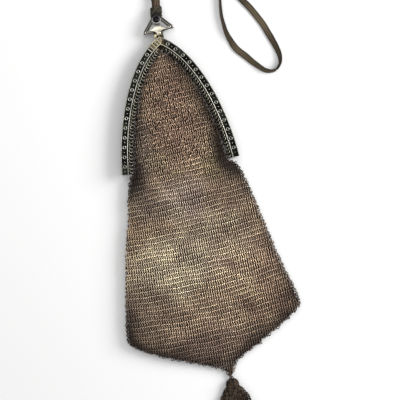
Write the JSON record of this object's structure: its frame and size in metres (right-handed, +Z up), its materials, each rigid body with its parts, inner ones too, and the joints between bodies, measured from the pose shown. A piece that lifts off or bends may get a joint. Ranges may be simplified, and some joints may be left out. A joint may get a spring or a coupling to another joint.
{
  "type": "metal mesh purse",
  "caption": "Flat ring mesh purse lying on its back: pointed-arch metal frame, thumb clasp with a black stone, triangular bail, woven wrist loop and a tassel at the pointed bottom.",
  "frame": {"origin": "on the flat back of the frame, 2.5 mm below its point, on the surface the purse lies on", "axes": "+Y up the frame's axis towards the strap, +Z up from the resting surface, +X to the right as seen from above"},
  "size_m": [0.1208, 0.308, 0.0115],
  "materials": {
    "aged_silver": "oxidised silver with bright worn rims",
    "polished_silver": "polished by the thumb",
    "ring_mesh": "aged bronze-brown ring mesh",
    "woven_braid": "ribbed woven braid",
    "plaited_cuff": "dark plaited cord",
    "black_stone": "polished cabochon"
  },
  "bodies": {
    "purse": {"frame_front": "aged_silver", "frame_back": "aged_silver", "hinge_pin_left": "aged_silver", "hinge_pin_right": "aged_silver", "bail": "aged_silver", "strap_cuff": "plaited_cuff", "strap": "woven_braid", "mesh_pouch": "ring_mesh", "tassel_link": "ring_mesh", "tassel": "ring_mesh"},
    "thumb_piece": {"clasp_lever": "polished_silver", "cabochon": "black_stone"}
  },
  "joints": [
    {"name": "clasp_lift", "type": "hinge", "parent": "purse", "child": "thumb_piece", "pos_m": [0, 0.0037, 0.0066], "axis": [1, 0, 0], "range_deg": [0, 35], "stiffness_Nm_per_rad": 0.005, "springref_deg": -17.19}
  ]
}
